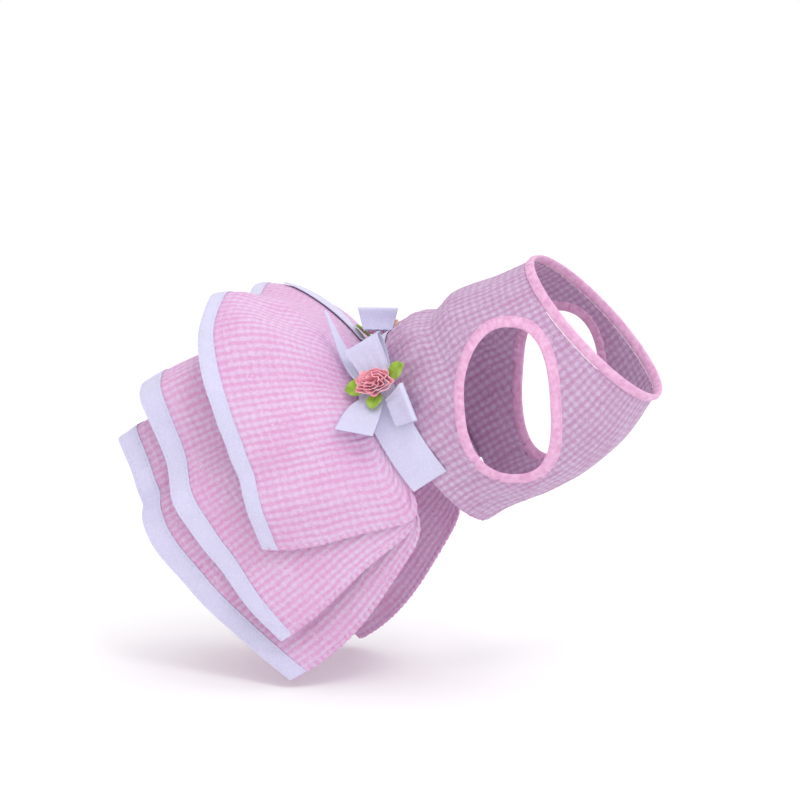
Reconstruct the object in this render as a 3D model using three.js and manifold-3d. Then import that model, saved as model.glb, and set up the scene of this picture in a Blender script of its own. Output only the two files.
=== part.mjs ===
// A sleeveless little dress of pink gingham, in the form it has when worn: a bodice round the trunk, a ribbon
// sash with two bows over the waist seam, and a skirt of three gathered tiers, each with a ribbon on its hem.
// Millimetres. +X points toward the neck end, +Z is up, and the near side is -Y. The origin is the middle of
// the waist. The trunk rises toward the neck, so most points are placed by how far they lie along the spine,
// up from it toward the back, and out from it toward the near side.
import * as THREE from 'three';
import { mergeVertices } from 'three/addons/utils/BufferGeometryUtils.js';
import Module from 'manifold-3d';

const wasm = await Module();
wasm.setup();

// Layers
const cloth = 1.1;
const ribbon = 1.0;
const petal = 1.0;
const gap = 0.3;

// Trunk and bodice
const pitch = THREE.MathUtils.degToRad(34);
const waistHalfWidth = 44;
const waistHalfDepth = 54;
const backLength = 106;
const neckRake = 8;
const bindingWidth = 5.5;

// Armholes, upright ovals on each side
const armholeAlong = 58;
const armholeRise = 24;
const armholeHalfWidth = 23;
const armholeHalfHeight = 40;
const armholeSquareness = 2.4;

// Sash and skirt
const sashWidth = 22;
const sashReach = THREE.MathUtils.degToRad(115);
const hemRibbonWidth = 9.5;
const topTierLength = 90;
const middleTierLength = 112;
const bottomTierLength = 128;

// Bows
const bowRibbonWidth = 22;
const roseRadius = 9.5;
const roseHeight = 7.5;
const roseStretch = 1.3;
const roseTurns = 2.4;
const roseEye = 0.16;
const roseLean = 0.38;
const roseDrop = 0.35;
const roseWave = 0.45;
const rosePetals = 5;
const leafLength = 12.5;
const leafWidth = 9.5;
const leafStem = 0.12;
const leafPlumpness = 0.8;
const leafCurl = 0.25;
const knotThickness = 2.5;
const knotHalf = 4.5;
const knotGather = 0.72;
const loopBlunt = 0.5;
const loopArch = 1.2;

// Bulge of the gathered cloth past the sash's ends
const bulgeAngle = THREE.MathUtils.degToRad(13);
const bulgeWidth = 0.16;
const bulgePeak = 0.1;

// Mesh fineness
const bodiceColumns = 44;
const skirtColumns = 44;
const loopColumns = 12;
const ringColumns = 30;
const roseColumns = 30;
const tailColumns = 6;
const leafColumns = 6;
const searchRounds = 12;
const probe = 0.01;

const looks = {
  gingham: { color: 0xf3b7dc, roughness: 0.9, metalness: 0 },
  binding: { color: 0xfdb4da, roughness: 0.8, metalness: 0 },
  ribbon: { color: 0xc9cbea, roughness: 0.45, metalness: 0 },
  rose: { color: 0xf58a93, roughness: 0.6, metalness: 0 },
  leaf: { color: 0x8cc63f, roughness: 0.6, metalness: 0 },
};

const spine = new THREE.Vector3(Math.cos(pitch), 0, Math.sin(pitch));
const dorsal = new THREE.Vector3(-Math.sin(pitch), 0, Math.cos(pitch));
const outward = new THREE.Vector3(0, -1, 0);

// A point by its distance along the spine, up toward the back and out toward the near side
function place(along, up, out) {
  return new THREE.Vector3()
    .addScaledVector(spine, along)
    .addScaledVector(dorsal, up)
    .addScaledVector(outward, out);
}

// The height of the middle of a layer at the waist, counted from the innermost
const layer = (count) => count * (cloth + gap) + cloth / 2;
const outerLayer = 2;
const sashHeight = layer(outerLayer) + cloth / 2 + gap + ribbon / 2;

// A point round the waist, by its angle from the middle of the back, its height over the hollow and its place
// along the spine
function waistPoint(angle, height, along) {
  const up = (waistHalfDepth + height) * Math.cos(angle);
  const out = (waistHalfWidth + height) * Math.sin(angle);
  return place(along, up, out);
}

// One column of a table at a share, on a smooth curve through its rows
function follow(rows, column, share, flatStart = false) {
  const last = rows.length - 1;
  const slope = (i) => {
    const before = rows[Math.max(i - 1, 0)];
    const after = rows[Math.min(i + 1, last)];
    const rise = (after[column] - before[column]) / (after.at - before.at);
    return i === 0 && flatStart ? 0 : rise;
  };
  let i = 0;
  while (i < last - 1 && share > rows[i + 1].at) i += 1;
  const span = rows[i + 1].at - rows[i].at;
  const t = (share - rows[i].at) / span;
  const start = (1 + 2 * t) * (1 - t) ** 2 * rows[i][column];
  const end = t * t * (3 - 2 * t) * rows[i + 1][column];
  const bend = t * (1 - t) ** 2 * span * slope(i) - t * t * (1 - t) * span * slope(i + 1);
  return start + end + bend;
}

const steps = (count) => Array.from({ length: count + 1 }, (_, i) => i / count);

// Unit normals of a grid of points, where round means that each row closes on itself
function gridNormals(grid, round) {
  const count = grid[0].length;
  const wrap = (j) => (round ? (j + count) % count : Math.min(Math.max(j, 0), count - 1));
  return grid.map((row, i) =>
    row.map((_, j) => {
      const across = row[wrap(j + 1)].clone().sub(row[wrap(j - 1)]);
      const below = grid[Math.min(i + 1, grid.length - 1)][j];
      const above = grid[Math.max(i - 1, 0)][j];
      return below.clone().sub(above).cross(across).normalize();
    }),
  );
}

// Turns a mesh's faces outward if its enclosed volume comes out negative
function faceOutward(positions, index) {
  const corner = (k) => new THREE.Vector3().fromArray(positions, 3 * index[k]);
  let volume = 0;
  for (let k = 0; k < index.length; k += 3) {
    volume += corner(k).dot(corner(k + 1).cross(corner(k + 2)));
  }
  if (volume < 0) index.reverse();
}

function geometryOf(positions, index) {
  faceOutward(positions, index);
  const geometry = new THREE.BufferGeometry();
  geometry.setAttribute('position', new THREE.Float32BufferAttribute(positions, 3));
  geometry.setIndex(index);
  return geometry;
}

// A closed sheet over a grid, with its faces at two heights along the grid's normals
function sheet(grid, normals, low, high, round = false) {
  const rows = grid.length;
  const count = grid[0].length;
  const positions = [];
  for (const height of [high, low]) {
    grid.forEach((row, i) =>
      row.forEach((point, j) =>
        positions.push(...point.clone().addScaledVector(normals[i][j], height).toArray()),
      ),
    );
  }
  const at = (face, i, j) => face * rows * count + i * count + (j % count);
  const index = [];
  const quad = (a, b, c, d) => index.push(a, b, c, a, c, d);
  const spans = round ? count : count - 1;
  for (let j = 0; j < spans; j += 1) {
    for (let i = 0; i < rows - 1; i += 1) {
      quad(at(0, i, j), at(0, i + 1, j), at(0, i + 1, j + 1), at(0, i, j + 1));
      quad(at(1, i, j), at(1, i, j + 1), at(1, i + 1, j + 1), at(1, i + 1, j));
    }
    quad(at(0, 0, j), at(0, 0, j + 1), at(1, 0, j + 1), at(1, 0, j));
    quad(at(0, rows - 1, j), at(1, rows - 1, j), at(1, rows - 1, j + 1), at(0, rows - 1, j + 1));
  }
  if (!round) {
    for (let i = 0; i < rows - 1; i += 1) {
      quad(at(0, i, 0), at(1, i, 0), at(1, i + 1, 0), at(0, i + 1, 0));
      quad(at(0, i, spans), at(0, i + 1, spans), at(1, i + 1, spans), at(1, i, spans));
    }
  }
  return geometryOf(positions, index);
}

// A closed ring swept from a loop of sections that all have the same number of corners
function ring(sections) {
  const corners = sections[0].length;
  const positions = sections.flat().flatMap((point) => point.toArray());
  const index = [];
  for (let i = 0; i < sections.length; i += 1) {
    const next = (i + 1) % sections.length;
    for (let j = 0; j < corners; j += 1) {
      const side = (j + 1) % corners;
      const here = i * corners;
      const there = next * corners;
      index.push(here + j, there + j, there + side, here + j, there + side, here + side);
    }
  }
  return geometryOf(positions, index);
}

const dress = new THREE.Group();

function add(name, geometry, look) {
  const mesh = new THREE.Mesh(geometry, new THREE.MeshStandardMaterial(look));
  mesh.name = name;
  dress.add(mesh);
}

// Bodice sections from waist to neck: half width, height of the back and depth of the belly, in shares of the
// waist's half width and half depth. The rise after the sash is the soft fold across the back.
const bodiceSections = [
  { at: 0, width: 1, back: 1, belly: 1 },
  { at: 0.12, width: 1, back: 1, belly: 1 },
  { at: 0.25, width: 1.04, back: 1.03, belly: 1.05 },
  { at: 0.32, width: 1.06, back: 1.01, belly: 1.08 },
  { at: 0.41, width: 1.09, back: 0.93, belly: 1.1 },
  { at: 0.55, width: 1.12, back: 0.98, belly: 1.11 },
  { at: 0.8, width: 1.04, back: 0.88, belly: 1.03 },
  { at: 1, width: 0.88, back: 0.82, belly: 0.86 },
];

// Soft upright folds that the bodice is drawn into, by angle from the back in shares of half a turn
const bodiceFolds = [
  { at: 0.2, width: 0.035, depth: 1.6 },
  { at: 0.33, width: 0.04, depth: -1.4 },
  { at: 0.45, width: 0.04, depth: 1.5 },
];
const bodiceRows = [0, 0.12, 0.18, 0.25, 0.32, 0.41, 0.5, 0.6, 0.72, 0.86, 1];
const foldFrom = 0.12;
const foldSpan = 0.5;

function bodiceEnd(angle) {
  return backLength - neckRake * Math.cos(angle);
}

function bodiceFold(angle, share) {
  const turn = Math.abs(angle) / Math.PI;
  const along = Math.max(share - foldFrom, 0) / foldSpan;
  const fade = Math.sin(Math.PI * Math.min(along, 1));
  return bodiceFolds.reduce(
    (sum, fold) => sum + fold.depth * fade * Math.exp(-(((turn - fold.at) / fold.width) ** 2)),
    0,
  );
}

function bodicePoint(angle, share, extra = 0) {
  const height = layer(outerLayer) + extra + bodiceFold(angle, share);
  const depth = Math.cos(angle) > 0 ? 'back' : 'belly';
  const up = (waistHalfDepth * follow(bodiceSections, depth, share) + height) * Math.cos(angle);
  const out = (waistHalfWidth * follow(bodiceSections, 'width', share) + height) * Math.sin(angle);
  return place(gap + (bodiceEnd(angle) - gap) * share, up, out);
}

// How far out the bodice's wall lies at a place seen from the side
function bodiceOut(along, up) {
  let angle = Math.PI / 2;
  let share = 0.5;
  for (let i = 0; i < searchRounds; i += 1) {
    share = (along - gap) / (bodiceEnd(angle) - gap);
    const depth = up > 0 ? 'back' : 'belly';
    const half = waistHalfDepth * follow(bodiceSections, depth, share) + layer(outerLayer);
    angle = Math.acos(Math.max(-1, Math.min(1, up / half)));
  }
  return -bodicePoint(angle, share).y;
}

// A point of an armhole's oval, grown by some width, as x and z seen from the side
function armholePoint(turn, grow) {
  const round = (value) => Math.sign(value) * Math.abs(value) ** (2 / armholeSquareness);
  const x = armholeAlong + (armholeHalfWidth + grow) * round(Math.cos(turn));
  const z = armholeRise + (armholeHalfHeight + grow) * round(Math.sin(turn));
  return new THREE.Vector2(x, z);
}

function solidOf(geometry) {
  const bare = geometry.clone();
  bare.deleteAttribute('normal');
  bare.deleteAttribute('uv');
  const merged = mergeVertices(bare);
  const body = new wasm.Mesh({
    numProp: 3,
    vertProperties: merged.attributes.position.array,
    triVerts: Uint32Array.from(merged.index.array),
  });
  return new wasm.Manifold(body);
}

function makeBodice() {
  const grid = bodiceRows.map((share) =>
    steps(bodiceColumns)
      .slice(0, -1)
      .map((turn) => bodicePoint(2 * Math.PI * (turn - 0.5), share)),
  );
  const tube = sheet(grid, gridNormals(grid, true), -cloth / 2, cloth / 2, true);
  const outline = steps(ringColumns)
    .slice(0, -1)
    .map((turn) => armholePoint(2 * Math.PI * turn, bindingWidth + gap));
  const reach = 2 * waistHalfWidth;
  const hole = new THREE.ExtrudeGeometry(new THREE.Shape(outline), {
    depth: 2 * reach,
    bevelEnabled: false,
  });
  hole.rotateX(Math.PI / 2);
  hole.translate(0, reach, 0);
  const cut = solidOf(tube).subtract(solidOf(hole)).getMesh();
  add('bodice', geometryOf([...cut.vertProperties], [...cut.triVerts]), looks.gingham);
}

// The section of a folded binding: its share across the width, and its height in cloth thicknesses
const bindingSection = [
  { across: 0, height: -0.7 },
  { across: 0, height: 0.7 },
  { across: 0.25, height: 1.2 },
  { across: 0.8, height: 1.2 },
  { across: 1, height: 0.6 },
  { across: 1, height: -0.6 },
];

function makeBindings() {
  const turns = steps(ringColumns).slice(0, -1);
  for (const [name, side] of [['near', 1], ['far', -1]]) {
    const sections = turns.map((turn) =>
      bindingSection.map(({ across, height }) => {
        const seen = armholePoint(2 * Math.PI * turn, bindingWidth * across);
        const spot = new THREE.Vector3(seen.x, 0, seen.y);
        const out = bodiceOut(spot.dot(spine), spot.dot(dorsal)) + height * cloth;
        return spot.addScaledVector(outward, side * out);
      }),
    );
    add(`armhole_binding_${name}`, ring(sections), looks.binding);
  }
  const neck = turns.map((turn) =>
    bindingSection.map(({ across, height }) => {
      const angle = 2 * Math.PI * turn;
      const edge = bodicePoint(angle, 1, height * cloth);
      return edge.addScaledVector(spine, gap + bindingWidth * (1 - across));
    }),
  );
  add('neck_binding', ring(neck), looks.binding);
}

function makeSash() {
  const grid = [-0.5, 0, 0.5].map((across) =>
    steps(skirtColumns).map((turn) => waistPoint(sashReach * (2 * turn - 1), sashHeight, sashWidth * across)),
  );
  add('sash', sheet(grid, gridNormals(grid, false), -ribbon / 2, ribbon / 2), looks.ribbon);
}

// Skirt tiers. Each row is one line of cloth from the waist to the hem, at a share of the way from the
// middle of the back to the side edge. Back, rise and out give the hem, and the mid columns the cloth half
// way there, all from where the cloth leaves the sash, in shares of the tier's length.
const topTier = {
  name: 'top',
  length: topTierLength,
  layer: 2,
  rows: [
    { at: 0, back: 0.8, rise: 0.28, out: 0, midBack: 0.38, midRise: 0.29, midOut: 0 },
    { at: 0.17, back: 0.85, rise: 0.38, out: 0.22, midBack: 0.43, midRise: 0.34, midOut: 0.1 },
    { at: 0.3, back: 0.84, rise: 0.2, out: 0.36, midBack: 0.42, midRise: 0.28, midOut: 0.22 },
    { at: 0.42, back: 0.79, rise: 0.02, out: 0.42, midBack: 0.38, midRise: 0.09, midOut: 0.26 },
    { at: 0.6, back: 0.75, rise: -0.15, out: 0.36, midBack: 0.33, midRise: -0.05, midOut: 0.26 },
    { at: 0.8, back: 0.79, rise: -0.25, out: 0.3, midBack: 0.38, midRise: -0.13, midOut: 0.22 },
    { at: 1, back: 0.86, rise: -0.36, out: 0.25, midBack: 0.42, midRise: -0.28, midOut: 0.18 },
  ],
  folds: [
    { at: 0.3, width: 0.06, waist: 0.03, hem: 0.02 },
    { at: 0.41, width: 0.04, waist: -0.055, hem: 0 },
    { at: 0.55, width: 0.05, waist: 0.025, hem: 0 },
    { at: 0.7, width: 0.05, waist: -0.03, hem: -0.015 },
    { at: 0.86, width: 0.05, waist: 0.03, hem: 0.02 },
  ],
};
const middleTier = {
  name: 'middle',
  length: middleTierLength,
  layer: 1,
  rows: [
    { at: 0, back: 0.99, rise: -0.18, out: 0, midBack: 0.46, midRise: 0.04, midOut: 0 },
    { at: 0.17, back: 1.05, rise: -0.12, out: 0.18, midBack: 0.47, midRise: 0.11, midOut: 0.09 },
    { at: 0.3, back: 1.01, rise: -0.16, out: 0.2, midBack: 0.47, midRise: 0.07, midOut: 0.1 },
    { at: 0.42, back: 0.97, rise: -0.23, out: 0.2, midBack: 0.46, midRise: -0.05, midOut: 0.08 },
    { at: 0.6, back: 0.92, rise: -0.42, out: 0.17, midBack: 0.43, midRise: -0.14, midOut: 0.09 },
    { at: 0.8, back: 0.82, rise: -0.57, out: 0.14, midBack: 0.4, midRise: -0.25, midOut: 0.1 },
    { at: 1, back: 0.61, rise: -0.75, out: 0.15, midBack: 0.3, midRise: -0.46, midOut: 0.1 },
  ],
  folds: [
    { at: 0.3, width: 0.07, waist: 0, hem: 0.03 },
    { at: 0.47, width: 0.07, waist: -0.01, hem: -0.03 },
    { at: 0.62, width: 0.06, waist: 0, hem: 0.03 },
    { at: 0.8, width: 0.06, waist: 0, hem: -0.025 },
  ],
};
const bottomTier = {
  name: 'bottom',
  length: bottomTierLength,
  layer: 0,
  rows: [
    { at: 0, back: 0.94, rise: -0.36, out: 0, midBack: 0.46, midRise: -0.1, midOut: 0 },
    { at: 0.17, back: 1.02, rise: -0.32, out: 0.14, midBack: 0.5, midRise: -0.05, midOut: 0.06 },
    { at: 0.3, back: 1, rise: -0.35, out: 0.13, midBack: 0.5, midRise: -0.08, midOut: 0.06 },
    { at: 0.42, back: 0.97, rise: -0.41, out: 0.13, midBack: 0.48, midRise: -0.13, midOut: 0.05 },
    { at: 0.6, back: 0.97, rise: -0.49, out: 0.1, midBack: 0.46, midRise: -0.18, midOut: 0.04 },
    { at: 0.8, back: 0.8, rise: -0.67, out: 0.08, midBack: 0.39, midRise: -0.3, midOut: 0.03 },
    { at: 1, back: 0.5, rise: -0.83, out: 0.09, midBack: 0.16, midRise: -0.5, midOut: -0.01 },
  ],
  folds: [
    { at: 0.25, width: 0.06, waist: 0, hem: 0.02 },
    { at: 0.5, width: 0.05, waist: 0, hem: -0.035 },
    { at: 0.66, width: 0.06, waist: 0, hem: 0.025 },
    { at: 0.85, width: 0.06, waist: 0, hem: -0.02 },
  ],
};
const tierRows = [0, 0.1, 0.22, 0.36, 0.52, 0.7];
const foldStart = 0.35;

// Where a tier turns outward: the outermost just clear of the sash's edge, the others one layer further back
const collarEnd = (count) => -(sashWidth / 2 + (1 + outerLayer - count) * (cloth + gap));

// A point of a tier, by its share round the waist, negative on the far side, and its share down the cloth
function tierPoint(tier, turn, share) {
  const around = Math.abs(turn);
  const side = turn < 0 ? -1 : 1;
  const angle = around * sashReach;
  const bulge = (share / bulgePeak) * Math.exp(1 - share / bulgePeak);
  const past = bulgeAngle * bulge * Math.exp(-(((1 - around) / bulgeWidth) ** 2));
  const start = waistPoint(angle + past, layer(tier.layer), collarEnd(tier.layer));
  const shift = (back, rise, out) =>
    new THREE.Vector3(
      -follow(tier.rows, back, around, true),
      -follow(tier.rows, out, around),
      follow(tier.rows, rise, around, true),
    ).multiplyScalar(tier.length);
  const hem = shift('back', 'rise', 'out');
  const middle = shift('midBack', 'midRise', 'midOut');
  const bend = middle.multiplyScalar(2).addScaledVector(hem, -0.5);
  const point = start
    .addScaledVector(bend, 2 * share * (1 - share))
    .addScaledVector(hem, share * share);
  const ease = Math.min(share / foldStart, 1);
  const height = tier.folds.reduce((sum, fold) => {
    const bump = Math.exp(-(((around - fold.at) / fold.width) ** 2));
    return sum + bump * (fold.waist + (fold.hem - fold.waist) * share);
  }, 0);
  point.addScaledVector(place(0, Math.cos(angle), Math.sin(angle)), height * ease * tier.length);
  point.y *= side;
  return point;
}

function makeTier(tier) {
  const turns = steps(skirtColumns).map((turn) => 2 * turn - 1);
  const collar = turns.map((turn) => waistPoint(turn * sashReach, layer(tier.layer), -gap));
  const ribbonEdge = 1 - hemRibbonWidth / tier.length;
  const rows = [...tierRows, ribbonEdge, 1];
  const grid = [collar, ...rows.map((share) => turns.map((turn) => tierPoint(tier, turn, share)))];
  const normals = gridNormals(grid, false);
  add(`skirt_tier_${tier.name}`, sheet(grid, normals, -cloth / 2, cloth / 2), looks.gingham);
  const low = cloth / 2 + gap;
  const hem = sheet(grid.slice(-2), normals.slice(-2), low, low + ribbon);
  add(`hem_ribbon_${tier.name}`, hem, looks.ribbon);
}

// A bow's place on the sash and its own directions: round toward the near side or the back, forward and up
function bowFrame(angle, along) {
  const normal = place(0, Math.cos(angle) / waistHalfDepth, Math.sin(angle) / waistHalfWidth).normalize();
  const origin = waistPoint(angle, sashHeight + ribbon / 2 + gap, along);
  const toward = normal.clone().cross(spine).normalize();
  return { origin, toward, forward: spine.clone(), normal };
}

function inBow(frame, toward, forward, lift) {
  return frame.origin
    .clone()
    .addScaledVector(frame.toward, toward)
    .addScaledVector(frame.forward, forward)
    .addScaledVector(frame.normal, lift);
}

// A ribbon along a path, as wide as its widths say, with its width in the direction given at each point
function strip(path, widths, sides, thickness) {
  const grid = [-0.5, 0, 0.5].map((across) =>
    path.map((point, i) => point.clone().addScaledVector(sides[i], widths[i] * across)),
  );
  return sheet(grid, gridNormals(grid, false), -thickness / 2, thickness / 2);
}

// One loop of a bow: out from the knot, round and back over itself. Turn and back are its start from the
// knot, round the waist and along the sash, heading its direction over the sash, rise its lift off the sash
// and roll its turn about its own length, all but back in degrees.
function makeLoop(name, bow, loop) {
  const start = THREE.MathUtils.degToRad(bow.angle + loop.turn);
  const frame = bowFrame(start, bow.along - loop.back * sashWidth);
  const [heading, rise, roll] = [loop.heading, loop.rise, loop.roll].map(THREE.MathUtils.degToRad);
  const level = frame.toward.clone().multiplyScalar(Math.cos(heading));
  level.addScaledVector(frame.forward, Math.sin(heading));
  const ahead = level.multiplyScalar(Math.cos(rise)).addScaledVector(frame.normal, Math.sin(rise));
  const side = frame.normal.clone().cross(ahead).normalize().applyAxisAngle(ahead, roll);
  const over = ahead.clone().cross(side);
  const knot = inBow(frame, 0, 0, bow.knotLift);
  const shares = steps(loopColumns);
  const open = (share) => Math.sin(Math.PI * share);
  const path = shares.map((share) => {
    const reach = knotHalf + (loop.length * bowRibbonWidth - knotHalf) * open(share) ** loopBlunt;
    const turned = (1 - Math.cos(Math.PI * share)) / 2;
    const swell = loop.height * bowRibbonWidth * turned * open(share) ** loopArch;
    const lift = knotThickness * share + swell;
    return knot.clone().addScaledVector(ahead, reach).addScaledVector(over, lift);
  });
  const widths = shares.map(
    (share) => bowRibbonWidth * (knotGather + (1 - knotGather) * Math.sqrt(open(share))),
  );
  const sides = shares.map(() => side);
  add(name, strip(path, widths, sides, ribbon), looks.ribbon);
}

// One tail of a bow, whose rows give its path and width in ribbon widths and its twist in degrees
function makeTail(name, frame, tail) {
  const shares = steps(tailColumns);
  const part = (column, share) => bowRibbonWidth * follow(tail.rows, column, share);
  const spot = (share) =>
    inBow(frame, part('toward', share), part('forward', share), part('lift', share) + tail.lift);
  const path = shares.map(spot);
  const sides = shares.map((share) => {
    const twist = THREE.MathUtils.degToRad(follow(tail.rows, 'twist', share));
    const before = Math.max(share - 1 / tailColumns, 0);
    const after = Math.min(share + 1 / tailColumns, 1);
    const ahead = spot(after).sub(spot(before)).normalize();
    const flat = frame.normal.clone().cross(ahead).normalize();
    return flat.applyAxisAngle(ahead, twist);
  });
  const widths = shares.map((share) => part('width', share));
  add(name, strip(path, widths, sides, ribbon), looks.ribbon);
}

// A point over the top tier's outer face
function overTier(turn, share, height) {
  const point = tierPoint(topTier, turn, share);
  const across = tierPoint(topTier, turn + probe, share).sub(tierPoint(topTier, turn - probe, share));
  const down = tierPoint(topTier, turn, share + probe).sub(tierPoint(topTier, turn, share - probe));
  return point.addScaledVector(down.cross(across).normalize(), height);
}

// A tail that starts on the sash, lies up the top tier along one line of its cloth, and narrows to a point
function makeLyingTail(name, tail) {
  const height = cloth / 2 + 2 * gap + ribbon / 2;
  const grid = [-0.5, 0, 0.5].map((across) => {
    const turnAt = (share) => {
      const half = (across * bowRibbonWidth * follow(tail.rows, 'width', share)) / waistHalfWidth;
      return tail.turn + half / sashReach;
    };
    const onSash = waistPoint(turnAt(0) * sashReach, sashHeight + ribbon + gap, -sashWidth * tail.start);
    const onTier = steps(tailColumns).map((share) =>
      overTier(turnAt(share), tail.from + (tail.to - tail.from) * share, height),
    );
    return [onSash, ...onTier];
  });
  add(name, sheet(grid, gridNormals(grid, false), -ribbon / 2, ribbon / 2), looks.ribbon);
}

// A rose of one ribbon wound in an oval spiral, its turns leaning out
function makeRose(name, frame, rose) {
  const turns = steps(roseColumns);
  const long = THREE.MathUtils.degToRad(rose.heading);
  const grid = steps(2).map((rise) =>
    turns.map((share) => {
      const angle = 2 * Math.PI * roseTurns * share;
      const lean = 1 - roseLean * (1 - rise);
      const radius = roseRadius * (roseEye + (1 - roseEye) * share) * lean;
      const top = roseHeight * (1 - roseDrop * share) * rise;
      const wave = roseWave * rise * Math.sin(rosePetals * angle);
      const x = radius * roseStretch * Math.cos(angle);
      const y = (radius / roseStretch) * Math.sin(angle);
      const toward = rose.toward + x * Math.cos(long) - y * Math.sin(long);
      const forward = rose.forward + x * Math.sin(long) + y * Math.cos(long);
      return inBow(frame, toward, forward, rose.lift + top + wave);
    }),
  );
  add(name, sheet(grid, gridNormals(grid, false), -petal / 2, petal / 2), looks.rose);
}

// A pointed leaf, its edges curled up from its middle, placed in shares of the rose's radius and height
function makeLeaf(name, frame, rose, leaf) {
  const heading = THREE.MathUtils.degToRad(leaf.heading);
  const cos = Math.cos(heading);
  const sin = Math.sin(heading);
  const shares = steps(leafColumns);
  const grid = [-1, 0, 1].map((across) =>
    shares.map((share) => {
      const swell = Math.sin(Math.PI * (leafStem + (1 - leafStem) * share)) ** leafPlumpness;
      const half = (leafWidth / 2) * (leafStem + (1 - leafStem) * swell);
      const reach = leaf.from * roseRadius + leaf.spread * leafLength * share;
      const slope = leaf.rise * leafLength * share + leafCurl * half * Math.abs(across);
      const turned = half * across;
      const toward = rose.toward + reach * cos - turned * sin;
      const forward = rose.forward + reach * sin + turned * cos;
      return inBow(frame, toward, forward, rose.lift + leaf.lift * roseHeight + slope);
    }),
  );
  add(name, sheet(grid, gridNormals(grid, false), -petal / 2, petal / 2), looks.leaf);
}

const nearBow = {
  name: 'near',
  angle: 58,
  along: 5,
  knotLift: 0.7,
  rose: { toward: 0, forward: 0, lift: 5.2, heading: 122 },
  loops: [
    { name: 'upper', turn: 0, back: 0, heading: 4, rise: 6, roll: 0, length: 1.18, height: 0.4 },
    { name: 'lower', turn: 16, back: 0.24, heading: 96, rise: 5, roll: 0, length: 0.85, height: 0.3 },
  ],
  tails: [
    {
      name: 'long',
      lift: 0.4,
      rows: [
        { at: 0, toward: -0.12, forward: -0.27, lift: 0, twist: -6, width: 0.5 },
        { at: 0.5, toward: -0.53, forward: -0.59, lift: 0.33, twist: -12, width: 0.9 },
        { at: 1, toward: -1.01, forward: -0.89, lift: 0.6, twist: -16, width: 1 },
      ],
    },
    {
      name: 'short',
      lift: -0.1,
      rows: [
        { at: 0, toward: 0.39, forward: -0.39, lift: 0, twist: 0, width: 0.4 },
        { at: 0.45, toward: 1.18, forward: -0.6, lift: 0.12, twist: 50, width: 0.3 },
        { at: 1, toward: 2.36, forward: -0.44, lift: 0.66, twist: 80, width: 0.08 },
      ],
    },
  ],
  lyingTails: [],
  leaves: [
    { heading: -68, from: 0.88, lift: -0.07, spread: 0.95, rise: 0.15 },
    { heading: 208, from: 0.58, lift: -0.05, spread: 0.75, rise: 0.3 },
    { heading: 94, from: 0.9, lift: 0.1, spread: 0.9, rise: 0.3 },
  ],
};
const farBow = {
  name: 'far',
  angle: -8,
  along: -2,
  knotLift: 0.8,
  rose: { toward: 13.6, forward: 1, lift: 3.6, heading: 10 },
  loops: [
    { name: 'upper', turn: 0, back: 0, heading: 61, rise: 62, roll: 90, length: 0.75, height: 0.3 },
    { name: 'lower', turn: -8, back: -0.1, heading: 0, rise: 0, roll: 0, length: 1, height: 0.1 },
  ],
  tails: [
    {
      name: 'long',
      lift: 0.45,
      rows: [
        { at: 0, toward: -0.2, forward: 0, lift: 0, twist: 0, width: 0.5 },
        { at: 0.5, toward: -0.5, forward: 0, lift: 0, twist: 0, width: 0.7 },
        { at: 1, toward: -0.85, forward: 0, lift: -0.06, twist: 0, width: 0.8 },
      ],
    },
  ],
  lyingTails: [
    {
      name: 'short',
      turn: -0.14,
      start: 0.2,
      from: 0.08,
      to: 0.75,
      rows: [
        { at: 0, width: 0.3 },
        { at: 0.5, width: 0.35 },
        { at: 1, width: 0.06 },
      ],
    },
  ],
  leaves: [
    { heading: -115, from: 0.9, lift: 0.2, spread: 0.35, rise: 0.95 },
    { heading: 80, from: 0.66, lift: 0, spread: 0.9, rise: 0 },
    { heading: 10, from: 0.9, lift: 0, spread: 0.9, rise: -0.1 },
  ],
};

function makeBow(bow) {
  const frame = bowFrame(THREE.MathUtils.degToRad(bow.angle), bow.along);
  const name = (piece) => `${bow.name}_bow_${piece}`;
  bow.loops.forEach((loop) => makeLoop(name(`loop_${loop.name}`), bow, loop));
  bow.tails.forEach((tail) => makeTail(name(`tail_${tail.name}`), frame, tail));
  bow.lyingTails.forEach((tail) => makeLyingTail(name(`tail_${tail.name}`), tail));
  makeRose(name('rose'), frame, bow.rose);
  bow.leaves.forEach((leaf, i) => makeLeaf(name(`leaf_${i + 1}`), frame, bow.rose, leaf));
}

makeBodice();
makeBindings();
makeSash();
[topTier, middleTier, bottomTier].forEach(makeTier);
[nearBow, farBow].forEach(makeBow);

export default dress;
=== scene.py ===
# A sleeveless little dress of pink gingham seersucker, in the form it has when worn, built round the
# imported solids. The cloth follows the same sizes and tables as the solids, in millimetres, with finer
# folds, gathers, puckers, seams and stitches, and goes to Blender in metres.
import math

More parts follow.
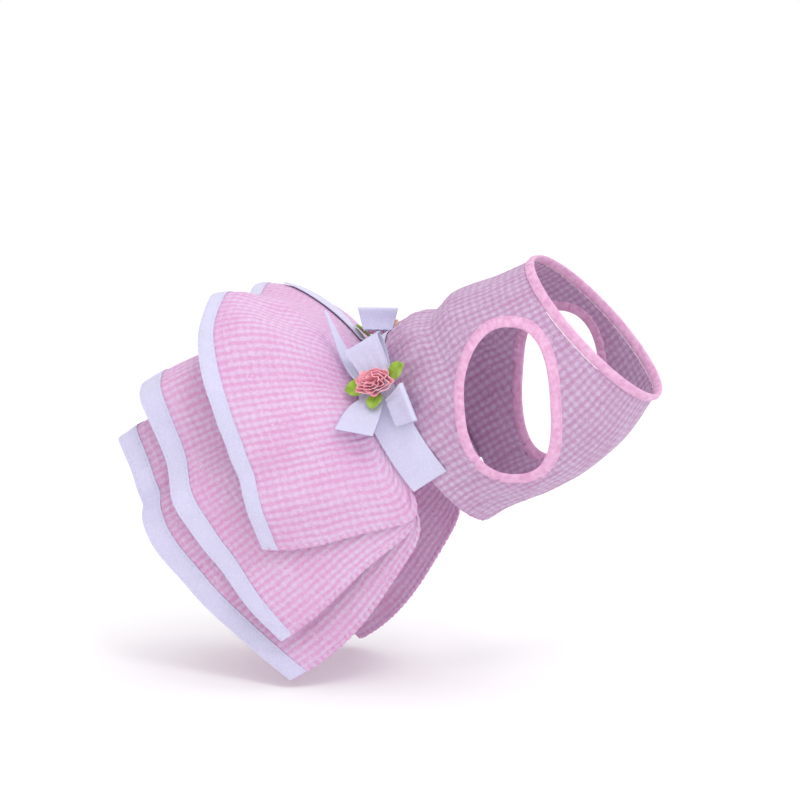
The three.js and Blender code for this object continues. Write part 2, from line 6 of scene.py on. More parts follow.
import bmesh
import bpy
import numpy as np
from mathutils import Euler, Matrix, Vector


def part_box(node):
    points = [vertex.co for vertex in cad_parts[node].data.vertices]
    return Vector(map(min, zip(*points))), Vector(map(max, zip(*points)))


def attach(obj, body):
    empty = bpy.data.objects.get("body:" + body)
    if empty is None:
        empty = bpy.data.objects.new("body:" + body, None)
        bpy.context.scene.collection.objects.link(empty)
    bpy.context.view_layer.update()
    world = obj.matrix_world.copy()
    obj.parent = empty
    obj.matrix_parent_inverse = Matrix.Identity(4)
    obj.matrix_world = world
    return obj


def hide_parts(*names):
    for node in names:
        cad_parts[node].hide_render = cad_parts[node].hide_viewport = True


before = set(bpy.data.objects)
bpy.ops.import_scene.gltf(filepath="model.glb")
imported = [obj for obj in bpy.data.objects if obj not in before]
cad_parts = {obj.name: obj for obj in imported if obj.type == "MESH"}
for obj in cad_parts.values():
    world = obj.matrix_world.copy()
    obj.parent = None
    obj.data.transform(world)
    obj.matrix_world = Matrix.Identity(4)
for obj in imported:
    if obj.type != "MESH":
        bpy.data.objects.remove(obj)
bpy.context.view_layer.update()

MM = 0.001

# Sizes of layers, trunk, trims and bows, as in the solids
CLOTH = 1.1
RIBBON = 1.0
GAP = 0.3
PITCH = math.radians(34)
WAIST_HALF_WIDTH = 44
WAIST_HALF_DEPTH = 54
BACK_LENGTH = 106
NECK_RAKE = 8
BINDING_WIDTH = 5.5
ARMHOLE_ALONG = 58
ARMHOLE_RISE = 24
ARMHOLE_HALF_WIDTH = 23
ARMHOLE_HALF_HEIGHT = 40
ARMHOLE_SQUARENESS = 2.4
SASH_WIDTH = 22
SASH_REACH = math.radians(115)
HEM_RIBBON_WIDTH = 9.5
BOW_RIBBON_WIDTH = 22
ROSE_RADIUS = 9.5
ROSE_HEIGHT = 7.5
ROSE_STRETCH = 1.3
ROSE_EYE = 0.16
ROSE_LEAN = 0.38
ROSE_DROP = 0.35
LEAF_LENGTH = 12.5
LEAF_WIDTH = 9.5
LEAF_STEM = 0.12
LEAF_PLUMPNESS = 0.8
LEAF_CURL = 0.25
KNOT_THICKNESS = 2.5
KNOT_HALF = 4.5
KNOT_GATHER = 0.72
LOOP_BLUNT = 0.5
LOOP_ARCH = 1.2
BULGE_ANGLE = math.radians(13)
BULGE_WIDTH = 0.16
BULGE_PEAK = 0.1
OUTER_LAYER = 2
FOLD_START = 0.35

# Thickness of the real cloth and ribbon, which the solids thicken, the thread's radius, the pitch
# and cover of stitches, and half the thickness of petals and leaves
SHEER = 0.7
RIBBON_SHEER = 0.45
THREAD = 0.17
SEAM = (2.6, 0.62)
SASH_SEAM = (3.2, 0.6)
HEM_SEAM = (3.4, 0.6)
PETAL_HALF = 0.2
LEAF_HALF = 0.35

# The rose's winding, finer than the solid's, its mean radius as a share, and its ruffles in mm
PETAL_TURNS = 4.4
PETAL_MEAN = 0.6
PETAL_RUFFLE = 0.6
PETAL_ROLL = 0.6

# The fold beside the near rose: shares of the reach round the waist and of the cloth's length, heights in mm
VALLEY_START = 0.4
VALLEY_SLANT = 0.33
VALLEY_WIDTH = 0.07
VALLEY_DEPTH = 7
VALLEY_END = 0.8
RIDGE_START = 0.49
RIDGE_SLANT = 0.2
RIDGE_HEIGHT = 1.2

# The pattern's repeat, one pink and one white stripe, how far it wanders, and the finer weaves
CHECK = 4.2
CHECK_WANDER = 2.2
WEAVE_THREAD = 0.42
RIBBON_RIB = 0.6

SPINE = np.array([math.cos(PITCH), 0, math.sin(PITCH)])
DORSAL = np.array([-math.sin(PITCH), 0, math.cos(PITCH)])
NEAR = np.array([0.0, -1.0, 0.0])
SASH_HEIGHT = OUTER_LAYER * (CLOTH + GAP) + CLOTH + GAP + RIBBON / 2


def layer(count):
    return count * (CLOTH + GAP) + CLOTH / 2


def vector(*parts):
    """Points or vectors from coordinates that may be grids."""
    return np.stack(np.broadcast_arrays(*parts), axis=-1).astype(float)


def place(along, up, out):
    """A point by its distance along the spine, up toward the back and out toward the near side."""
    along, up, out = np.broadcast_arrays(along, up, out)
    return along[..., None] * SPINE + up[..., None] * DORSAL + out[..., None] * NEAR


def waist_point(angle, height, along):
    up = (WAIST_HALF_DEPTH + height) * np.cos(angle)
    out = (WAIST_HALF_WIDTH + height) * np.sin(angle)
    return place(along, up, out)


def table(header, *rows):
    """A table as a dictionary of its columns."""
    return {name: np.array([row[k] for row in rows]) for k, name in enumerate(header.split())}


def follow(rows, column, share, flat_start=False):
    """One column of a table at each share, on a smooth curve through its rows."""
    at, value = rows["at"], rows[column]
    last = len(at) - 1
    before = np.maximum(np.arange(last + 1) - 1, 0)
    after = np.minimum(np.arange(last + 1) + 1, last)
    slope = (value[after] - value[before]) / (at[after] - at[before])
    if flat_start:
        slope[0] = 0
    share = np.asarray(share, float)
    i = np.clip(np.searchsorted(at, share) - 1, 0, last - 1)
    span = at[i + 1] - at[i]
    t = (share - at[i]) / span
    start = (1 + 2 * t) * (1 - t) ** 2 * value[i]
    end = t * t * (3 - 2 * t) * value[i + 1]
    bend = t * (1 - t) ** 2 * span * slope[i] - t * t * (1 - t) * span * slope[i + 1]
    return start + end + bend


def column_of(values):
    return np.asarray(values, float)[:, None]


def row_of(values):
    return np.asarray(values, float)[None, :]


def ripple(position, waves):
    """A sum of sines at a position, for folds that don't repeat evenly."""
    return sum(size * np.sin(2 * math.pi * (position / length + shift)) for length, size, shift in waves)


def unit(vectors):
    return vectors / np.maximum(np.linalg.norm(vectors, axis=-1, keepdims=True), 1e-9)


def grid_normals(grid, wrap=False):
    down = np.gradient(grid, axis=0)
    if wrap:
        across = np.roll(grid, -1, axis=1) - np.roll(grid, 1, axis=1)
    else:
        across = np.gradient(grid, axis=1)
    return unit(np.cross(down, across))


def run_length(points, axis):
    """Distance covered along one axis of a grid of points, from its start."""
    steps = np.linalg.norm(np.diff(points, axis=axis), axis=-1)
    total = np.cumsum(steps, axis=axis)
    return np.concatenate([np.zeros_like(np.take(total, [0], axis=axis)), total], axis=axis)


def add_object(name, data):
    """A new object in the scene."""
    thing = bpy.data.objects.new(name, data)
    bpy.context.scene.collection.objects.link(thing)
    return thing


def make_object(name, points, faces, uv, material):
    """A mesh piece that rides on the dress, from points and texture places in millimetres."""
    mesh = bpy.data.meshes.new(name)
    mesh.from_pydata((points * MM).tolist(), [], faces)
    layer_uv = mesh.uv_layers.new(name="cloth")
    layer_uv.data.foreach_set("uv", (np.asarray(uv, float) * MM).ravel())
    mesh.materials.append(material)
    mesh.polygons.foreach_set("use_smooth", [True] * len(mesh.polygons))
    mesh.set_sharp_from_angle(angle=math.radians(50))
    mesh.update()
    piece = add_object(name, mesh)
    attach(piece, "root")
    return piece


def sheet_parts(grid, uv, half, wrap=False, keep=None):
    """Points, faces and face-corner texture places of a closed sheet over a grid, half its thickness to each
    side. Where it wraps, uv has one column more than the grid. keep says which cells have cloth."""
    rows, columns = grid.shape[:2]
    spans = columns if wrap else columns - 1
    normals = grid_normals(grid, wrap)
    points = np.concatenate([grid + normals * half, grid - normals * half]).reshape(-1, 3)
    keep = np.ones((rows - 1, spans), bool) if keep is None else keep
    edged = np.pad(keep, 1)
    if wrap:
        edged[:, 0] = edged[:, -2]
        edged[:, -1] = edged[:, 1]
    # The corners of a cell: small letters for the upper face, capitals for the lower one
    corners = {"a": (0, 0), "b": (1, 0), "c": (1, 1), "d": (0, 1)}
    faces, places = [], []

    def quads(cells, order):
        i, j = np.nonzero(cells)
        picked, spots = [], []
        for letter in order:
            down, across = corners[letter.lower()]
            lower = letter.isupper() * rows * columns
            picked.append(lower + (i + down) * columns + (j + across) % columns)
            spots.append(uv[i + down, j + across])
        faces.append(np.stack(picked, axis=1))
        places.append(np.stack(spots, axis=1))

    quads(keep, "abcd")
    quads(keep, "ADCB")
    quads(keep & ~edged[1:-1, :-2], "aABb")
    quads(keep & ~edged[1:-1, 2:], "dcCD")
    quads(keep & ~edged[:-2, 1:-1], "adDA")
    quads(keep & ~edged[2:, 1:-1], "bBCc")
    faces = np.concatenate(faces)
    places = np.concatenate(places)
    used, index = np.unique(faces, return_inverse=True)
    return points[used], index.reshape(faces.shape).tolist(), places


def sheet_object(name, grid, uv, half, material, wrap=False, keep=None):
    points, faces, places = sheet_parts(grid, uv, half, wrap, keep)
    return make_object(name, points, faces, places, material)


def ribbon_object(name, grid, uv):
    return sheet_object(name, grid, uv, RIBBON_SHEER / 2, RIBBON_LOOK)


def tube_object(name, tubes, material):
    """Closed tubes, each a grid of sections along a path. A tube joins its own end if its flag says so."""
    points, faces, places = [], [], []
    base = 0
    for grid, joined in tubes:
        sections, corners = grid.shape[:2]
        along = run_length(grid.mean(axis=1), 0)
        around = np.linalg.norm(grid[0, 0] - grid[0, corners // 2]) * 2 / corners
        spans = sections if joined else sections - 1
        for i in range(spans):
            here, there = base + i * corners, base + (i + 1) % sections * corners
            end = along[i + 1] if i + 1 < sections else along[-1] + along[1]
            for j in range(corners):
                side = (j + 1) % corners
                faces.append([here + j, there + j, there + side, here + side])
                near, far = j * around, (j + 1) * around
                places.extend([(along[i], near), (end, near), (end, far), (along[i], far)])
        if not joined:
            faces.append([base + j for j in range(corners)])
            faces.append([base + (sections - 1) * corners + j for j in reversed(range(corners))])
            places.extend([(along[0], j * around) for j in range(corners)])
            places.extend([(along[-1], j * around) for j in reversed(range(corners))])
        points.append(grid.reshape(-1, 3))
        base += sections * corners
    piece = make_object(name, np.concatenate(points), faces, places, material)
    shell = bmesh.new()
    shell.from_mesh(piece.data)
    bmesh.ops.recalc_face_normals(shell, faces=shell.faces)
    shell.to_mesh(piece.data)
    shell.free()
    return piece


def stitches(name, lines, seam, material):
    """Rows of short thread stitches. Each line is a path of points with its surface normals, and the seam is
    the stitches' pitch and the share of it that each covers."""
    pitch, share = seam
    half = pitch * share / 2
    ends = [(-1, 0.3), (-0.75, 1), (0, 1.15), (0.75, 1), (1, 0.3)]
    turns = np.arange(6) / 6 * 2 * math.pi
    tubes = []
    for path, normals in lines:
        reach = run_length(path, 0)
        for middle in np.arange(pitch / 2, reach[-1], pitch):
            spot = np.array([np.interp(middle, reach, path[:, k]) for k in range(3)])
            normal = unit(np.array([np.interp(middle, reach, normals[:, k]) for k in range(3)]))
            i = min(np.searchsorted(reach, middle), len(path) - 1)
            ahead = unit(path[i] - path[i - 1])
            side = unit(np.cross(normal, ahead))
            sections = [
                spot
                + ahead * half * share_at
                + THREAD * size * (np.cos(turns)[:, None] * side + np.sin(turns)[:, None] * normal)
                for share_at, size in ends
            ]
            tubes.append((np.array(sections), False))
    return tube_object(name, tubes, material)


def edge_stitches(name, grid, seam):
    """A row of stitches along both long edges of a ribbon, one row of its grid inward."""
    normals = grid_normals(grid)
    lines = [(grid[row] + normals[row] * RIBBON_SHEER / 2, normals[row]) for row in (1, len(grid) - 2)]
    return stitches(name, lines, seam, THREAD_LOOK)


# Materials


class Nodes:
    """A node tree, with short calls for its links and sums."""

    def __init__(self, tree):
        self.tree = tree

    def link(self, source, target):
        """Links a socket to an input, or gives the input a plain value."""
        if hasattr(source, "is_linked"):
            self.tree.links.new(source, target)
        else:
            target.default_value = source

    def math(self, operation, first, second=0.0, third=None):
        node = self.tree.nodes.new("ShaderNodeMath")
        node.operation = operation
        self.link(first, node.inputs[0])
        self.link(second, node.inputs[1])
        if third is not None:
            self.link(third, node.inputs[2])
        return node.outputs[0]


class Look(Nodes):
    """The nodes of a new material."""

    def __init__(self, name, roughness, sheen):
        self.material = bpy.data.materials.new(name)
        self.material.use_nodes = True
        super().__init__(self.material.node_tree)
        self.shader = self.tree.nodes["Principled BSDF"]
        self.shader.inputs["Roughness"].default_value = roughness
        self.shader.inputs["Sheen Weight"].default_value = sheen
        self.shader.inputs["Sheen Roughness"].default_value = 0.4
        self.shader.inputs["Specular IOR Level"].default_value = 0.3

    def places(self):
        node = self.tree.nodes.new("ShaderNodeUVMap")
        node.uv_map = "cloth"
        parts = self.tree.nodes.new("ShaderNodeSeparateXYZ")
        self.tree.links.new(node.outputs[0], parts.inputs[0])
        return parts.outputs[0], parts.outputs[1]

    def noise(self, size, detail=2.0, roughness=0.5):
        """Noise between 0 and 1 in the object's own space, with features of about the given size in mm."""
        where = self.tree.nodes.new("ShaderNodeTexCoord")
        node = self.tree.nodes.new("ShaderNodeTexNoise")
        node.inputs["Scale"].default_value = 1 / (size * MM)
        node.inputs["Detail"].default_value = detail
        node.inputs["Roughness"].default_value = roughness
        self.tree.links.new(where.outputs["Object"], node.inputs["Vector"])
        return node.outputs["Fac"]

    def wave(self, position, length):
        """A smooth wave between 0 and 1 with the given length in mm."""
        turned = self.math("MULTIPLY", position, 2 * math.pi / (length * MM))
        return self.math("MULTIPLY_ADD", self.math("SINE", turned), 0.5, 0.5)

    def sharpen(self, value, low, high):
        node = self.tree.nodes.new("ShaderNodeMapRange")
        node.interpolation_type = "SMOOTHSTEP"
        node.inputs["From Min"].default_value = low
        node.inputs["From Max"].default_value = high
        self.tree.links.new(value, node.inputs["Value"])
        return node.outputs["Result"]

    def mix(self, factor, first, second):
        node = self.tree.nodes.new("ShaderNodeMix")
        node.data_type = "RGBA"
        self.link(factor, node.inputs[0])
        for value, target in ((first, node.inputs[6]), (second, node.inputs[7])):
            self.link(value if hasattr(value, "is_linked") else (*value, 1), target)
        return node.outputs[2]

    def bump(self, height, distance, strength=1.0, under=None):
        node = self.tree.nodes.new("ShaderNodeBump")
        node.inputs["Strength"].default_value = strength
        node.inputs["Distance"].default_value = distance * MM
        self.tree.links.new(height, node.inputs["Height"])
        if under is not None:
            self.tree.links.new(under, node.inputs["Normal"])
        return node.outputs["Normal"]

    def finish(self, colour, normal):
        self.link(colour, self.shader.inputs["Base Color"])
        self.link(normal, self.shader.inputs["Normal"])
        return self.material


def shade(red, green, blue):
    """A linear colour from the usual 0 to 255 values."""
    return tuple(((c / 255 + 0.055) / 1.055) ** 2.4 if c > 10 else c / 3295 for c in (red, green, blue))


def gingham_material(name, pink, pale, white, bright):
    """Puckered cotton in fine checks: soft pink rows along the cloth, paler columns across it."""
    nodes = Look(name, roughness=0.85, sheen=0.2)
    u, v = nodes.places()
    wander = nodes.math("MULTIPLY", nodes.math("SUBTRACT", nodes.noise(6, 3), 0.5), CHECK_WANDER * MM)
    rows = nodes.wave(nodes.math("ADD", u, wander), CHECK)
    columns = nodes.wave(nodes.math("ADD", v, wander), CHECK)
    strength = nodes.math("MULTIPLY_ADD", nodes.noise(11, 3), 0.6, 0.25)
    row_stripe = nodes.math("MULTIPLY", nodes.sharpen(rows, 0.15, 0.85), strength)
    column_stripe = nodes.sharpen(columns, 0.15, 0.85)
    ground = nodes.mix(column_stripe, white, pale)
    checks = nodes.mix(row_stripe, ground, pink)
    # Large random patches tinted deeper pink: painted shade, standing in for the saturated pink shade of the
    # folds
    pink_shade_patches = nodes.sharpen(nodes.noise(24, 3), 0.35, 0.75)
    tinted = nodes.mix(nodes.math("MULTIPLY", pink_shade_patches, 0.3), checks, pink)
    # Small light flecks: partly slub in the yarn, partly painted highlights for the glints on the puckers
    slub_and_glint = nodes.sharpen(nodes.noise(1.4, 3), 0.52, 0.74)
    colour = nodes.mix(nodes.math("MULTIPLY", slub_and_glint, 0.5), tinted, bright)
    puffs = nodes.math("MULTIPLY_ADD", columns, 0.2, rows)
    crinkle = nodes.math("MULTIPLY", nodes.noise(2.8, 3, 0.6), 1.5)
    waffle = nodes.math("SUBTRACT", crinkle, nodes.math("MULTIPLY", puffs, 0.3))
    threads = nodes.math("MULTIPLY", nodes.wave(u, WEAVE_THREAD), nodes.wave(v, WEAVE_THREAD))
    weave = nodes.bump(threads, 0.05, 0.5)
    return nodes.finish(colour, nodes.bump(waffle, 0.75, 0.9, weave))


def ribbon_material():
    """Pale lavender ribbon with fine ribs across it, a grain and small glints."""
    nodes = Look("lavender_ribbon", roughness=0.42, sheen=0.25)
    u = nodes.places()[0]
    soft = nodes.sharpen(nodes.noise(26, 2), 0.25, 0.8)
    base = nodes.mix(soft, shade(197, 195, 222), shade(206, 204, 230))
    ribs = nodes.wave(u, RIBBON_RIB)
    ribbed = nodes.mix(nodes.math("MULTIPLY", ribs, 0.2), base, shade(184, 182, 213))
    grain = nodes.sharpen(nodes.noise(0.9, 3), 0.35, 0.7)
    grained = nodes.mix(nodes.math("MULTIPLY", grain, 0.35), ribbed, shade(216, 214, 238))
    glint = nodes.sharpen(nodes.noise(0.5, 2), 0.58, 0.7)
    colour = nodes.mix(nodes.math("MULTIPLY", glint, 0.5), grained, shade(236, 236, 248))
    relief = nodes.math("ADD", ribs, nodes.math("MULTIPLY", nodes.noise(0.8, 2), 0.8))
    creases = nodes.bump(nodes.noise(6, 2), 0.5, 0.5)
    roughness = nodes.math("MULTIPLY_ADD", glint, -0.16, 0.5)
    nodes.link(roughness, nodes.shader.inputs["Roughness"])
    return nodes.finish(colour, nodes.bump(relief, 0.1, 0.6, creases))


def plain_cloth_material(name, dark, light, patch, thread, roughness, sheen, relief):
    """A cloth of one colour with soft variation, threads and small creases."""
    nodes = Look(name, roughness, sheen)
    u, v = nodes.places()
    soft = nodes.sharpen(nodes.noise(patch, 3), 0.3, 0.72)
    base = nodes.mix(soft, shade(*dark), shade(*light))
    threads = nodes.math("MULTIPLY", nodes.wave(u, thread), nodes.wave(v, thread))
    colour = nodes.mix(nodes.math("MULTIPLY", threads, 0.22), base, shade(*dark))
    creases = nodes.bump(nodes.noise(patch, 3, 0.6), relief, 0.8)
    return nodes.finish(colour, nodes.bump(threads, 0.06, 0.5, creases))


GINGHAM = gingham_material(
    "pink_gingham", shade(208, 136, 187), shade(211, 179, 211), shade(214, 188, 219), shade(224, 206, 230)
)
# The bodice's gingham is a darker, greyer copy of the same cloth: painted shade, for the shade the bodice
# sits in
SHADED_BODICE_GINGHAM = gingham_material(
    "bodice_gingham_painted_shade", shade(174, 117, 161), shade(188, 159, 190), shade(199, 177, 206), shade(208, 193, 217)
)
RIBBON_LOOK = ribbon_material()

# Plain looks: dark and light colour, size of patches and of threads in mm, roughness, sheen and relief
BINDING_LOOK = plain_cloth_material("pink_binding", (212, 156, 194), (228, 182, 214), 3, 0.5, 0.75, 0.3, 0.7)
ROSE_LOOK = plain_cloth_material("pink_satin", (234, 148, 166), (248, 188, 202), 2.5, 0.3, 0.45, 0.3, 0.25)
LEAF_LOOK = plain_cloth_material("green_satin", (128, 166, 40), (160, 192, 78), 4, 0.4, 0.5, 0.2, 0.25)
THREAD_FINISH = (2, 0.3, 0.5, 0.3, 0.1)
THREAD_LOOK = plain_cloth_material("lavender_thread", (190, 186, 216), (216, 212, 236), *THREAD_FINISH)
PINK_THREAD_LOOK = plain_cloth_material("pink_thread", (212, 150, 190), (226, 182, 210), *THREAD_FINISH)


# Bodice

BODICE = table(
    "at width back belly",
    (0, 1, 1, 1),
    (0.12, 1, 1, 1),
    (0.25, 1.04, 1.03, 1.05),
    (0.32, 1.06, 1.01, 1.08),
    (0.41, 1.09, 0.93, 1.1),
    (0.55, 1.12, 0.98, 1.11),
    (0.8, 1.04, 0.88, 1.03),
    (1, 0.88, 0.82, 0.86),
)
BODICE_FOLDS = table(
    "at width depth",
    (0.2, 0.035, 1.6),
    (0.33, 0.04, -1.4),
    (0.45, 0.04, 1.5),
)
BODICE_FOLD_FROM = 0.12
BODICE_FOLD_SPAN = 0.5
BODICE_GATHER_AT = 0.16
BODICE_GATHER_SPAN = 0.13
BODICE_COLUMNS = 300
BODICE_ROWS = 110


def bodice_end(angle):
    return BACK_LENGTH - NECK_RAKE * np.cos(angle)


def bodice_fold(angle, share):
    turn = np.abs(angle) / math.pi
    along = np.maximum(share - BODICE_FOLD_FROM, 0) / BODICE_FOLD_SPAN
    fade = np.sin(math.pi * np.minimum(along, 1))
    folds = zip(*BODICE_FOLDS.values())
    return sum(depth * fade * np.exp(-(((turn - at) / width) ** 2)) for at, width, depth in folds)


def bodice_point(angle, share, extra=0.0):
    height = layer(OUTER_LAYER) + extra + bodice_fold(angle, share)
    back = follow(BODICE, "back", share)
    belly = follow(BODICE, "belly", share)
    deep = np.where(np.cos(angle) > 0, back, belly)
    up = (WAIST_HALF_DEPTH * deep + height) * np.cos(angle)
    out = (WAIST_HALF_WIDTH * follow(BODICE, "width", share) + height) * np.sin(angle)
    return place(GAP + (bodice_end(angle) - GAP) * share, up, out)


def bodice_spot(along, up, rounds=12):
    """The angle and share of the bodice's wall at a place seen from the side."""
    angle = np.full_like(along, math.pi / 2)
    for _ in range(rounds):
        share = (along - GAP) / (bodice_end(angle) - GAP)
        deep = np.where(up > 0, follow(BODICE, "back", share), follow(BODICE, "belly", share))
        half = WAIST_HALF_DEPTH * deep + layer(OUTER_LAYER)
        angle = np.arccos(np.clip(up / half, -1, 1))
    return angle, share


def armhole_point(turn, grow):
    def rounded(value):
        return np.sign(value) * np.abs(value) ** (2 / ARMHOLE_SQUARENESS)

    x = ARMHOLE_ALONG + (ARMHOLE_HALF_WIDTH + grow) * rounded(np.cos(turn))
    z = ARMHOLE_RISE + (ARMHOLE_HALF_HEIGHT + grow) * rounded(np.sin(turn))
    return x, z


def armhole_reach(x, z, grow):
    """How far a place seen from the side lies from an armhole's middle: under 1 inside its outline."""
    across = np.abs((x - ARMHOLE_ALONG) / (ARMHOLE_HALF_WIDTH + grow)) ** ARMHOLE_SQUARENESS
    upward = np.abs((z - ARMHOLE_RISE) / (ARMHOLE_HALF_HEIGHT + grow)) ** ARMHOLE_SQUARENESS
    return across + upward


def side_wall(x, z):
    """Places seen from the side, and how far out the bodice's wall lies there."""
    seen = vector(x, 0, z)
    angle, share = bodice_spot(seen @ SPINE, seen @ DORSAL)
    return seen, -bodice_point(angle, share)[..., 1]


def make_bodice():
    angle = row_of((np.arange(BODICE_COLUMNS) / BODICE_COLUMNS - 0.5) * 2 * math.pi)
    share = column_of(np.linspace(0, 1, BODICE_ROWS))
    girth = WAIST_HALF_DEPTH * angle
    length = BACK_LENGTH * share
    drawn = 0.5 * ripple(girth + 0.25 * length, [(13, 1, 0.1), (8.1, 0.6, 0.4), (21, 0.8, 0.75)])
    waist_ease = np.exp(-((share - BODICE_GATHER_AT) / BODICE_GATHER_SPAN) ** 2)
    puckers = 0.12 * ripple(girth + 3 * np.sin(length / 9), [(5.3, 1, 0.2), (7.7, 1, 0.6)])
    grid = bodice_point(angle, share, drawn * waist_ease + puckers)
    turn = np.arange(BODICE_COLUMNS + 1) / BODICE_COLUMNS - 0.5
    around = 2 * math.pi * WAIST_HALF_DEPTH * turn
    down = run_length(grid, 0)
    down = np.concatenate([down, down[:, :1]], axis=1)
    uv = vector(row_of(around), down)
    beside = np.roll(grid, -1, axis=1)
    middle = (grid[:-1] + grid[1:] + beside[:-1] + beside[1:]) / 4
    keep = armhole_reach(middle[..., 0], middle[..., 2], BINDING_WIDTH / 2) > 1
    piece = sheet_object("bodice_cloth", grid, uv, SHEER / 2, SHADED_BODICE_GINGHAM, wrap=True, keep=keep)
    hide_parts("bodice")
    return piece


# The section of a folded binding, by share of its width and height in units, and the seam's share of width
BINDING = table(
    "across height",
    (-0.02, -0.5),
    (-0.06, 0),
    (-0.02, 0.5),
    (0.12, 1.05),
    (0.35, 1.3),
    (0.6, 1.25),
    (0.82, 1.0),
    (0.96, 0.65),
    (0.98, 0.2),
    (0.98, -0.2),
    (0.9, -0.75),
    (0.5, -1.0),
    (0.15, -0.85),
)
BINDING_UNIT = CLOTH * 0.85
BINDING_SEAM = 0.86
BINDING_COLUMNS = 360


def binding_wrinkles(run, across):
    """Small gathers where the folded strip goes round a bend."""
    waves = 0.2 * ripple(run + 1.5 * across, [(4.1, 1, 0), (6.7, 0.8, 0.3), (2.9, 0.5, 0.6)])
    return waves * np.sin(math.pi * np.clip(across, 0, 1))


def make_bindings():
    turn = column_of(np.arange(BINDING_COLUMNS) / BINDING_COLUMNS * 2 * math.pi)
    across, height = row_of(BINDING["across"]), row_of(BINDING["height"])
    pieces = []
    for side_name, side in (("near", 1), ("far", -1)):
        seen, out = side_wall(*armhole_point(turn, BINDING_WIDTH * across))
        wrinkle = binding_wrinkles(turn * ARMHOLE_HALF_HEIGHT, across)
        grid = seen + NEAR * side * (out + height * BINDING_UNIT + wrinkle * np.sign(height))[..., None]
        piece = tube_object(f"armhole_bias_{side_name}", [(grid, True)], BINDING_LOOK)
        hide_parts(f"armhole_binding_{side_name}")
        pieces.append(piece)
        seen, out = side_wall(*armhole_point(turn[:, 0], BINDING_WIDTH * BINDING_SEAM))
        path = seen + NEAR * side * (out + BINDING_UNIT)[..., None]
        normals = np.broadcast_to(NEAR * side, path.shape)
        stitches(f"armhole_stitches_{side_name}", [(path, normals)], SEAM, PINK_THREAD_LOOK)
    wrinkle = binding_wrinkles(turn * WAIST_HALF_DEPTH, across)
    edge = bodice_point(turn, np.ones_like(across), height * BINDING_UNIT + wrinkle * np.sign(height))
    grid = edge + SPINE * (GAP + BINDING_WIDTH * (1 - across))[..., None]
    piece = tube_object("neck_bias", [(grid, True)], BINDING_LOOK)
    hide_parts("neck_binding")
    pieces.append(piece)
    return pieces


# Sash

SASH_COLUMNS = 260
SASH_ROWS = 14
SASH_LIFT = 0.3


def make_sash():
    across = column_of(np.linspace(-0.5, 0.5, SASH_ROWS))
    turn = row_of(np.linspace(-1, 1, SASH_COLUMNS))
    girth = turn * SASH_REACH * WAIST_HALF_DEPTH
    swell = 0.3 * ripple(girth + 4 * across, [(31, 1, 0.2), (17, 0.6, 0.6)]) * np.cos(math.pi * across)
    grid = waist_point(turn * SASH_REACH, SASH_HEIGHT + SASH_LIFT + swell, SASH_WIDTH * across)
    uv = vector(girth, SASH_WIDTH * (across + 0.5))
    piece = ribbon_object("sash_ribbon", grid, uv)
    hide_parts("sash")
    edge_stitches("sash_stitches", grid, SASH_SEAM)


# Skirt tiers

